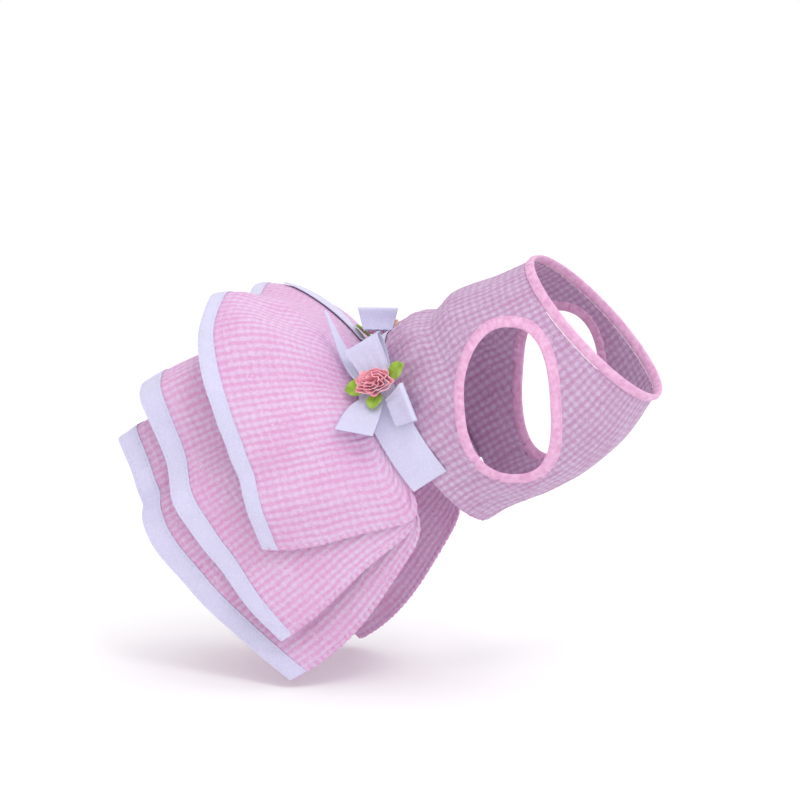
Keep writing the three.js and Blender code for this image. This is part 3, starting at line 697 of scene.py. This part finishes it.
TIER_HEADER = "at back rise out mid_back mid_rise mid_out"
FOLD_HEADER = "at width waist hem"
TIERS = [
    {
        "name": "top",
        "length": 90,
        "layer": 2,
        "rows": table(
            TIER_HEADER,
            (0, 0.8, 0.28, 0, 0.38, 0.29, 0),
            (0.17, 0.85, 0.38, 0.22, 0.43, 0.34, 0.1),
            (0.3, 0.84, 0.2, 0.36, 0.42, 0.28, 0.22),
            (0.42, 0.79, 0.02, 0.42, 0.38, 0.09, 0.26),
            (0.6, 0.75, -0.15, 0.36, 0.33, -0.05, 0.26),
            (0.8, 0.79, -0.25, 0.3, 0.38, -0.13, 0.22),
            (1, 0.86, -0.36, 0.25, 0.42, -0.28, 0.18),
        ),
        "folds": table(
            FOLD_HEADER,
            (0.3, 0.06, 0.03, 0.02),
            (0.41, 0.04, -0.055, 0),
            (0.55, 0.05, 0.025, 0),
            (0.7, 0.05, -0.03, -0.015),
            (0.86, 0.05, 0.03, 0.02),
        ),
        "valley": 1,
        "gather": 1.0,
        "flutter": [(23, 0.35, 0.1), (41, 0.5, 0.6)],
    },
    {
        "name": "middle",
        "length": 112,
        "layer": 1,
        "rows": table(
            TIER_HEADER,
            (0, 0.99, -0.18, 0, 0.46, 0.04, 0),
            (0.17, 1.05, -0.12, 0.18, 0.47, 0.11, 0.09),
            (0.3, 1.01, -0.16, 0.2, 0.47, 0.07, 0.1),
            (0.42, 0.97, -0.23, 0.2, 0.46, -0.05, 0.08),
            (0.6, 0.92, -0.42, 0.17, 0.43, -0.14, 0.09),
            (0.8, 0.82, -0.57, 0.14, 0.4, -0.25, 0.1),
            (1, 0.61, -0.75, 0.15, 0.3, -0.46, 0.1),
        ),
        "folds": table(
            FOLD_HEADER,
            (0.3, 0.07, 0, 0.03),
            (0.47, 0.07, -0.01, -0.03),
            (0.62, 0.06, 0, 0.03),
            (0.8, 0.06, 0, -0.025),
        ),
        "valley": 0,
        "gather": 0.3,
        "flutter": [(27, 0.5, 0.3), (47, 0.6, 0.8)],
    },
    {
        "name": "bottom",
        "length": 128,
        "layer": 0,
        "rows": table(
            TIER_HEADER,
            (0, 0.94, -0.36, 0, 0.46, -0.1, 0),
            (0.17, 1.02, -0.32, 0.14, 0.5, -0.05, 0.06),
            (0.3, 1, -0.35, 0.13, 0.5, -0.08, 0.06),
            (0.42, 0.97, -0.41, 0.13, 0.48, -0.13, 0.05),
            (0.6, 0.97, -0.49, 0.1, 0.46, -0.18, 0.04),
            (0.8, 0.8, -0.67, 0.08, 0.39, -0.3, 0.03),
            (1, 0.5, -0.83, 0.09, 0.16, -0.5, -0.01),
        ),
        "folds": table(
            FOLD_HEADER,
            (0.25, 0.06, 0, 0.02),
            (0.5, 0.05, 0, -0.035),
            (0.66, 0.06, 0, 0.025),
            (0.85, 0.06, 0, -0.02),
        ),
        "valley": 0,
        "gather": 0.3,
        "flutter": [(31, 0.6, 0.5), (53, 0.7, 0.2)],
    },
]
SKIRT_COLUMNS = 421
SKIRT_ROWS = 92
COLLAR_ROWS = 4

# Runs in mm that the waves of gathers and flutter are laid on, and where the gathers start and fade
GATHER_SPREAD = 100
FLUTTER_SPREAD = 170
GATHER_START = 0.03
GATHER_FADE = 0.16

# How far the checks at the waist take the run of the waist, not that of the hem
WAIST_RUN_SHARE = 0.55


def collar_end(count):
    return -(SASH_WIDTH / 2 + (1 + OUTER_LAYER - count) * (CLOTH + GAP))


def valley(turn, share):
    """The height of the fold beside the near rose: a valley up the cloth, with a low ridge next to it."""
    reach = np.sin(math.pi * np.clip(share / VALLEY_END, 0, 1))
    dip = np.exp(-(((turn - VALLEY_START + VALLEY_SLANT * share) / VALLEY_WIDTH) ** 2))
    ridge = np.exp(-(((turn - RIDGE_START + RIDGE_SLANT * share) / VALLEY_WIDTH) ** 2))
    return reach * (RIDGE_HEIGHT * ridge - VALLEY_DEPTH * dip)


def tier_point(tier, turn, share):
    """A point of a tier, by its share round the waist and its share down the cloth."""
    around = np.abs(turn)
    angle = around * SASH_REACH
    bulge = share / BULGE_PEAK * np.exp(1 - share / BULGE_PEAK)
    past = BULGE_ANGLE * bulge * np.exp(-(((1 - around) / BULGE_WIDTH) ** 2))
    start = waist_point(angle + past, layer(tier["layer"]), collar_end(tier["layer"]))
    rows = tier["rows"]

    def shift(back, rise, out):
        x, y = -follow(rows, back, around, True), -follow(rows, out, around)
        return vector(x, y, follow(rows, rise, around, True)) * tier["length"]

    hem = shift("back", "rise", "out")
    bend = 2 * shift("mid_back", "mid_rise", "mid_out") - hem / 2
    s = np.broadcast_to(share, np.broadcast_shapes(np.shape(share), np.shape(turn)))[..., None]
    point = start + 2 * s * (1 - s) * bend + s * s * hem
    ease = np.minimum(share / FOLD_START, 1)
    folds = zip(*tier["folds"].values())
    height = sum(
        np.exp(-(((around - at) / width) ** 2)) * (waist + (end - waist) * share)
        for at, width, waist, end in folds
    )
    gathers = ripple(turn * GATHER_SPREAD, [(3.1, 0.5, 0.1), (4.7, 0.45, 0.5), (7.3, 0.5, 0.8)])
    drawn = tier["gather"] * gathers * np.exp(-share / GATHER_FADE) * np.minimum(share / GATHER_START, 1)
    flutter = ripple(turn * FLUTTER_SPREAD + 6 * share, tier["flutter"]) * share**2
    lift = height * ease * tier["length"] + drawn + flutter + tier["valley"] * valley(turn, share)
    point = point + place(0, np.cos(angle), np.sin(angle)) * np.asarray(lift)[..., None]
    point[..., 1] *= np.where(turn < 0, -1, 1)
    return point


def tier_collar(tier, turn, share):
    """The hidden top of a tier, under the sash."""
    end = collar_end(tier["layer"])
    return waist_point(turn * SASH_REACH, layer(tier["layer"]), -GAP + (end + GAP) * share)


def tier_places(grid):
    """Texture places that run evenly along the hem, from each side edge to the middle, and up the cloth. Near
    the waist the gathers take up half of the cloth, so the checks keep some of their width there."""
    across = run_length(grid, 1)
    from_side = np.minimum(across, across[:, -1:] - across)
    hem = from_side[-1:]
    share = np.linspace(0, 1, grid.shape[0])[:, None]
    mixed = hem + (from_side - hem) * WAIST_RUN_SHARE * (1 - share)
    up = run_length(grid[::-1], 0)[::-1]
    return vector(mixed, up)


def make_tier(tier):
    name = tier["name"]
    turn = row_of(np.linspace(-1, 1, SKIRT_COLUMNS))
    share = column_of(np.linspace(0, 1, SKIRT_ROWS))
    collar = tier_collar(tier, turn, column_of(np.arange(COLLAR_ROWS) / COLLAR_ROWS))
    grid = np.concatenate([collar, tier_point(tier, turn, share)])
    uv = tier_places(grid)
    piece = sheet_object(f"tier_cloth_{name}", grid, uv, SHEER / 2, GINGHAM)
    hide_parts(f"skirt_tier_{name}")
    trim = make_hem_ribbon(tier, turn)
    rolls = make_side_hems(tier, grid)


HEM_ROWS = 8
HEM_END = 1.004


def make_hem_ribbon(tier, turn):
    """The ribbon sewn to the outer face of a hem, with a row of stitches along both of its edges."""
    name = tier["name"]
    start = 1 - HEM_RIBBON_WIDTH / tier["length"]
    across = column_of(np.linspace(0, 1, HEM_ROWS))
    grid = tier_point(tier, turn, start + (HEM_END - start) * across)
    normals = grid_normals(grid)
    run = run_length(grid[-1:], 1)
    buckle = 0.16 * ripple(run + 5 * across, [(11, 1, 0.3), (17, 1, 0.7), (6.3, 0.5, 0.1)])
    puff = (0.12 + buckle) * np.sin(math.pi * across)
    grid = grid + normals * (SHEER / 2 + 0.1 + RIBBON_SHEER / 2 + puff)[..., None]
    uv = vector(run, HEM_RIBBON_WIDTH * across)
    piece = ribbon_object(f"hem_trim_{name}", grid, uv)
    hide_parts(f"hem_ribbon_{name}")
    return piece, edge_stitches(f"hem_stitches_{name}", grid, HEM_SEAM)


ROLL_RADIUS = 1.25
ROLL_WIDE = 1.25
ROLL_HIGH = 0.62
ROLL_INSET = 0.7
ROLL_TAPER = 1.5
ROLL_CORNERS = 10


def make_side_hems(tier, grid):
    """The narrow rolled hem down each side edge, drawn into small lumps by its stitching."""
    corner = np.arange(ROLL_CORNERS) / ROLL_CORNERS * 2 * math.pi
    normals = grid_normals(grid)
    tubes = []
    for edge, inner in ((0, 4), (-1, -5)):
        path = grid[COLLAR_ROWS:, edge]
        inward = unit(grid[COLLAR_ROWS:, inner] - path)
        run = run_length(path, 0)
        lump = 1 + 0.16 * ripple(run, [(3.3, 1, 0.2), (4.9, 0.7, 0.6)])
        taper = np.sqrt(np.clip(np.minimum(run, run[-1] - run) / ROLL_TAPER, 0.04, 1))
        size = (lump * taper)[:, None, None]
        wide = ROLL_RADIUS * ROLL_WIDE * np.cos(corner)[None, :, None] * inward[:, None, :]
        high = ROLL_RADIUS * ROLL_HIGH * np.sin(corner)[None, :, None] * normals[COLLAR_ROWS:, edge, None, :]
        centre = path + inward * ROLL_RADIUS * ROLL_INSET
        tubes.append((centre[:, None, :] + size * (wide + high), False))
    return tube_object(f"side_hems_{tier['name']}", tubes, GINGHAM)


# Bows

LOOP_HEADER = "name turn back heading rise roll length height"
TAIL_HEADER = "at toward forward lift twist width"
LEAF_HEADER = "heading start lift spread rise"
BOWS = [
    {
        "name": "near",
        "angle": 58,
        "along": 5,
        "knot_lift": 0.7,
        "rose": {"toward": 0, "forward": 0, "lift": 5.2, "heading": 122},
        "loops": [("upper", 0, 0, 4, 6, 0, 1.18, 0.4), ("lower", 16, 0.24, 96, 5, 0, 0.85, 0.3)],
        "tails": [
            {
                "name": "long",
                "lift": 0.4,
                "cut": 1,
                "rows": table(
                    TAIL_HEADER,
                    (0, -0.12, -0.27, 0, -6, 0.5),
                    (0.5, -0.53, -0.59, 0.33, -12, 0.9),
                    (1, -1.01, -0.89, 0.6, -16, 1),
                ),
            },
            {
                "name": "short",
                "lift": -0.1,
                "cut": 0.5,
                "rows": table(
                    TAIL_HEADER,
                    (0, 0.39, -0.39, 0, 0, 0.4),
                    (0.45, 1.18, -0.6, 0.12, 50, 0.3),
                    (1, 2.36, -0.44, 0.66, 80, 0.08),
                ),
            },
        ],
        "lying_tails": [],
        "leaves": [
            (-68, 0.88, -0.07, 0.95, 0.15),
            (208, 0.58, -0.05, 0.75, 0.3),
            (94, 0.9, 0.1, 0.9, 0.3),
        ],
    },
    {
        "name": "far",
        "angle": -8,
        "along": -2,
        "knot_lift": 0.8,
        "rose": {"toward": 13.6, "forward": 1, "lift": 3.6, "heading": 10},
        "loops": [("upper", 0, 0, 61, 62, 90, 0.75, 0.3), ("lower", -8, -0.1, 0, 0, 0, 1, 0.1)],
        "tails": [
            {
                "name": "long",
                "lift": 0.45,
                "cut": 1,
                "rows": table(
                    TAIL_HEADER,
                    (0, -0.2, 0, 0, 0, 0.5),
                    (0.5, -0.5, 0, 0, 0, 0.7),
                    (1, -0.85, 0, -0.06, 0, 0.8),
                ),
            },
        ],
        "lying_tails": [
            {
                "name": "short",
                "cut": 0.5,
                "turn": -0.14,
                "start": 0.2,
                "from": 0.08,
                "to": 0.75,
                "rows": table("at width", (0, 0.3), (0.5, 0.35), (1, 0.06)),
            },
        ],
        "leaves": [(-115, 0.9, 0.2, 0.35, 0.95), (80, 0.66, 0, 0.9, 0), (10, 0.9, 0, 0.9, -0.1)],
    },
]
LOOP_COLUMNS = 90
STRIP_ROWS = 15


class BowFrame:
    """A bow's place on the sash and its own directions: round toward the back, forward and up."""

    def __init__(self, angle, along):
        rate = (0, math.cos(angle) / WAIST_HALF_DEPTH, math.sin(angle) / WAIST_HALF_WIDTH)
        self.normal = unit(place(*rate))
        self.origin = waist_point(angle, SASH_HEIGHT + RIBBON / 2 + GAP, along)
        self.toward = unit(np.cross(self.normal, SPINE))
        self.forward = SPINE

    def point(self, toward, forward, lift):
        directions = np.array([self.toward, self.forward, self.normal])
        return self.origin + vector(toward, forward, lift) @ directions


def bow_ribbon(node, grid, run, widths):
    """A bow's ribbon over a grid, with its length and its area."""
    across = column_of(np.linspace(0, 1, len(grid)))
    piece = ribbon_object(f"{node}_ribbon", grid, vector(row_of(run), BOW_RIBBON_WIDTH * across))
    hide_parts(node)
    return piece, float(run[-1]), float((widths[:-1] * np.diff(run)).sum())


def make_strip(node, path, widths, sides, creases):
    """A ribbon along a path, drawn into creases where it is narrow."""
    across = column_of(np.linspace(-0.5, 0.5, STRIP_ROWS))
    grid = path[None] + across[..., None] * (widths[:, None] * sides)[None]
    normals = grid_normals(grid)
    waves = np.cos(2 * math.pi * 3.5 * across) + 0.5 * np.cos(2 * math.pi * 6 * across + 1)
    grid = grid + normals * (waves * row_of(creases))[..., None]
    return bow_ribbon(node, grid, run_length(path, 0), widths)


def turned(direction, axis, angle):
    """Directions turned about axes that are square to them."""
    return direction * np.cos(angle) + np.cross(axis, direction) * np.sin(angle)


def make_loop(bow, loop):
    """A loop out from the knot, round and back over itself."""
    loop = dict(zip(LOOP_HEADER.split(), loop))
    heading, rise, roll = (math.radians(loop[key]) for key in ("heading", "rise", "roll"))
    base = BowFrame(math.radians(bow["angle"] + loop["turn"]), bow["along"] - loop["back"] * SASH_WIDTH)
    level = math.cos(heading) * base.toward + math.sin(heading) * base.forward
    ahead = math.cos(rise) * level + math.sin(rise) * base.normal
    side = turned(unit(np.cross(base.normal, ahead)), ahead, roll)
    over = np.cross(ahead, side)
    share = np.linspace(0, 1, LOOP_COLUMNS)
    is_open = np.sin(math.pi * share)
    length = loop["length"] * BOW_RIBBON_WIDTH
    reach = KNOT_HALF + (length - KNOT_HALF) * is_open**LOOP_BLUNT
    swell = loop["height"] * BOW_RIBBON_WIDTH * (1 - np.cos(math.pi * share)) / 2 * is_open**LOOP_ARCH
    lift = KNOT_THICKNESS * share + swell
    path = base.point(0, 0, bow["knot_lift"]) + column_of(reach) * ahead + column_of(lift) * over
    widths = BOW_RIBBON_WIDTH * (KNOT_GATHER + (1 - KNOT_GATHER) * np.sqrt(is_open))
    creases = 0.35 * (1 - np.sqrt(is_open))
    node = f"{bow['name']}_bow_loop_{loop['name']}"
    sides = np.tile(side, (len(share), 1))
    piece, run, area = make_strip(node, path, widths, sides, creases)


TAIL_STEPS = 6
TAIL_COLUMNS = 40
LYING_COLUMNS = 60
LYING_ROWS = 9
BRIDGE_COLUMNS = 6
PROBE = 0.01


def make_tail(bow, base, tail):
    share = np.linspace(0, 1, TAIL_COLUMNS)

    def part(column, where):
        return BOW_RIBBON_WIDTH * follow(tail["rows"], column, where)

    def spot(where):
        return base.point(part("toward", where), part("forward", where), part("lift", where) + tail["lift"])

    ahead = unit(spot(np.minimum(share + 1 / TAIL_STEPS, 1)) - spot(np.maximum(share - 1 / TAIL_STEPS, 0)))
    flat = unit(np.cross(base.normal, ahead))
    sides = turned(flat, ahead, column_of(np.radians(follow(tail["rows"], "twist", share))))
    creases = 0.25 * (1 - share) ** 2
    node = f"{bow['name']}_bow_tail_{tail['name']}"
    piece, run, area = make_strip(node, spot(share), part("width", share), sides, creases)


def make_lying_tail(bow, tail):
    """A tail that starts on the sash, lies up the top tier along one line of its cloth, and narrows."""
    share = row_of(np.linspace(0, 1, LYING_COLUMNS))
    across = column_of(np.linspace(-0.5, 0.5, LYING_ROWS))
    half = across * BOW_RIBBON_WIDTH * follow(tail["rows"], "width", share) / WAIST_HALF_WIDTH
    turn = tail["turn"] + half / SASH_REACH
    down = np.broadcast_to(tail["from"] + (tail["to"] - tail["from"]) * share, turn.shape)
    top = TIERS[0]
    around = tier_point(top, turn + PROBE, down) - tier_point(top, turn - PROBE, down)
    along = tier_point(top, turn, down + PROBE) - tier_point(top, turn, down - PROBE)
    on_tier = tier_point(top, turn, down) + unit(np.cross(along, around)) * (CLOTH / 2 + 2 * GAP + RIBBON / 2)
    on_sash = waist_point(turn[:, :1] * SASH_REACH, SASH_HEIGHT + RIBBON + GAP, -SASH_WIDTH * tail["start"])
    bridge = row_of(np.arange(BRIDGE_COLUMNS) / BRIDGE_COLUMNS)[..., None]
    grid = np.concatenate([on_sash * (1 - bridge) + on_tier[:, :1] * bridge, on_tier], axis=1)
    widths = np.linalg.norm(grid[-1] - grid[0], axis=-1)
    node = f"{bow['name']}_bow_tail_{tail['name']}"
    piece, run, area = bow_ribbon(node, grid, run_length(grid[LYING_ROWS // 2], 0), widths)


ROSE_COLUMNS = 420
ROSE_ROWS = 14
LEAF_COLUMNS = 36
LEAF_ROWS = 17


def rose_point(bow, base, ahead, side, heading, lift):
    """A point ahead of the rose's middle and to its side, for a heading in degrees."""
    rose = bow["rose"]
    cos_h, sin_h = math.cos(math.radians(heading)), math.sin(math.radians(heading))
    toward = rose["toward"] + ahead * cos_h - side * sin_h
    forward = rose["forward"] + ahead * sin_h + side * cos_h
    return base.point(toward, forward, rose["lift"] + lift)


def make_rose(bow, base):
    """A rose of one ribbon wound in an oval spiral, its upper edge ruffled and rolled out."""
    share = row_of(np.linspace(0, 1, ROSE_COLUMNS))
    rise = column_of(np.linspace(0, 1, ROSE_ROWS))
    angle = 2 * math.pi * PETAL_TURNS * share
    run = 2 * math.pi * ROSE_RADIUS * PETAL_TURNS * share * PETAL_MEAN
    lean = 1 - ROSE_LEAN * (1 - rise)
    ruffle = PETAL_RUFFLE * rise**2 * ripple(run, [(4.3, 1, 0), (6.9, 0.8, 0.4), (2.7, 0.35, 0.2)])
    radius = ROSE_RADIUS * (ROSE_EYE + (1 - ROSE_EYE) * share) * lean + ruffle + PETAL_ROLL * rise**4
    top = ROSE_HEIGHT * (1 - ROSE_DROP * share) * rise
    wave = PETAL_RUFFLE * rise**2 * ripple(run, [(7.1, 1, 0.3), (3.9, 0.6, 0.1)])
    ahead = radius * ROSE_STRETCH * np.cos(angle)
    side = radius / ROSE_STRETCH * np.sin(angle)
    grid = rose_point(bow, base, ahead, side, bow["rose"]["heading"], top + wave)
    uv = vector(run, ROSE_HEIGHT * rise)
    node = f"{bow['name']}_bow_rose"
    piece = sheet_object(f"{node}_ribbon", grid, uv, PETAL_HALF, ROSE_LOOK)
    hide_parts(node)


def make_leaf(bow, base, number, leaf):
    """A pointed satin leaf with a pressed vein, its edges curled up from its middle."""
    leaf = dict(zip(LEAF_HEADER.split(), leaf))
    share = row_of(np.linspace(0, 1, LEAF_COLUMNS))
    across = column_of(np.linspace(-1, 1, LEAF_ROWS))
    swell = np.sin(math.pi * (LEAF_STEM + (1 - LEAF_STEM) * share) * 0.995) ** LEAF_PLUMPNESS
    half = LEAF_WIDTH / 2 * (LEAF_STEM * (1 - share**6) + (1 - LEAF_STEM) * swell)
    reach = leaf["start"] * ROSE_RADIUS + leaf["spread"] * LEAF_LENGTH * share
    curl = LEAF_CURL * half * np.abs(across) ** 1.6
    vein = -0.25 * np.exp(-((across / 0.09) ** 2)) + 0.08 * np.sin(9 * share * math.pi + 3 * np.abs(across))
    lift = leaf["lift"] * ROSE_HEIGHT + leaf["rise"] * LEAF_LENGTH * share + curl + vein
    grid = rose_point(bow, base, reach, half * across, leaf["heading"], lift)
    uv = vector(reach, half * across)
    node = f"{bow['name']}_bow_leaf_{number}"
    piece = sheet_object(f"{node}_satin", grid, uv, LEAF_HALF, LEAF_LOOK)
    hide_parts(node)


def make_bow(bow):
    base = BowFrame(math.radians(bow["angle"]), bow["along"])
    for loop in bow["loops"]:
        make_loop(bow, loop)
    for tail in bow["tails"]:
        make_tail(bow, base, tail)
    for tail in bow["lying_tails"]:
        make_lying_tail(bow, tail)
    make_rose(bow, base)
    for number, leaf in enumerate(bow["leaves"], 1):
        make_leaf(bow, base, number, leaf)


bodice = make_bodice()
bindings = make_bindings()
make_sash()
for tier in TIERS:
    make_tier(tier)
for bow in BOWS:
    make_bow(bow)


# Stage, light and camera

VIEW_AZIMUTH = math.radians(20)
VIEW_ELEVATION = math.radians(8)
VIEW_DISTANCE = 1.4
PHOTO_SIDE = 800
PIXEL = 0.55 * MM
ORIGIN_PIXEL = (433, 430)
SENSOR = 36
FLOOR_DROP = 0.005
FLOOR_REACH = 60
FLOOR_WHITE = 0.95

# The sky is white of strength 1, changed by an amount toward each direction
SKY_CHANGES = [((0.45, -0.45, 0.9), 0.42), ((-0.75, -0.55, -0.3), -0.55)]


def make_floor():
    """A wide, plain, pale floor under the dress."""
    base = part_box("skirt_tier_bottom")[0].z - FLOOR_DROP
    span = np.linspace(-FLOOR_REACH, FLOOR_REACH, 9)
    points = [(x, y, base) for y in span for x in span]
    count = len(span)
    faces = [
        (i * count + j, i * count + j + 1, (i + 1) * count + j + 1, (i + 1) * count + j)
        for i in range(count - 1)
        for j in range(count - 1)
    ]
    mesh = bpy.data.meshes.new("floor")
    mesh.from_pydata(points, [], faces)
    paint = Look("floor_paint", roughness=0.9, sheen=0.0)
    paint.shader.inputs["Base Color"].default_value = (FLOOR_WHITE, FLOOR_WHITE, FLOOR_WHITE, 1)
    mesh.materials.append(paint.material)
    floor = add_object("floor", mesh)


def make_light(name, place_at, size, power, colour=(1, 1, 1)):
    lamp = bpy.data.lights.new(name, "AREA")
    lamp.shape = "DISK"
    lamp.size = size
    lamp.energy = power
    lamp.color = colour
    holder = add_object(name, lamp)
    holder.location = place_at
    holder.rotation_euler = (-Vector(place_at)).to_track_quat("-Z", "Y").to_euler()


def sky_term(nodes, direction, amount, before):
    """The sky's strength before it, changed by up to the amount toward one direction."""
    where = nodes.tree.nodes.new("ShaderNodeTexCoord")
    facing = nodes.tree.nodes.new("ShaderNodeVectorMath")
    facing.operation = "DOT_PRODUCT"
    facing.inputs[1].default_value = Vector(direction).normalized()
    nodes.link(where.outputs["Generated"], facing.inputs[0])
    kept = nodes.math("MAXIMUM", facing.outputs["Value"], 0)
    return nodes.math("MULTIPLY_ADD", kept, amount, before)


def make_world():
    """A white studio, brighter from above on the right and dimmer from low on the left in front."""
    world = bpy.data.worlds.new("studio")
    world.use_nodes = True
    nodes = Nodes(world.node_tree)
    sky = nodes.tree.nodes["Background"]
    sky.inputs["Color"].default_value = (1, 1, 1, 1)
    strength = 1
    for direction, amount in SKY_CHANGES:
        strength = sky_term(nodes, direction, amount, strength)
    nodes.link(strength, sky.inputs["Strength"])
    bpy.context.scene.world = world
    bpy.context.scene.view_settings.view_transform = "Standard"


def make_camera():
    """The photograph's viewing angle and framing."""
    turn = Euler((math.pi / 2 - VIEW_ELEVATION, 0, VIEW_AZIMUTH))
    right, up, back = turn.to_matrix().transposed()
    centre = PHOTO_SIDE / 2
    aim = right * (centre - ORIGIN_PIXEL[0]) * PIXEL - up * (centre - ORIGIN_PIXEL[1]) * PIXEL
    camera = bpy.data.cameras.new("camera")
    camera.sensor_width = SENSOR
    camera.lens = SENSOR * VIEW_DISTANCE / (PHOTO_SIDE * PIXEL)
    camera.clip_start = 0.05
    camera.clip_end = 50
    holder = add_object("camera", camera)
    holder.location = aim + back * VIEW_DISTANCE
    holder.rotation_euler = turn
    bpy.context.scene.camera = holder


make_floor()
make_light("key", (0.7, -0.9, 1.5), size=0.5, power=5)
make_light("fill", (-1.2, -1.0, 0.1), size=1.0, power=1.6, colour=(1, 0.62, 0.8))
make_world()
make_camera()
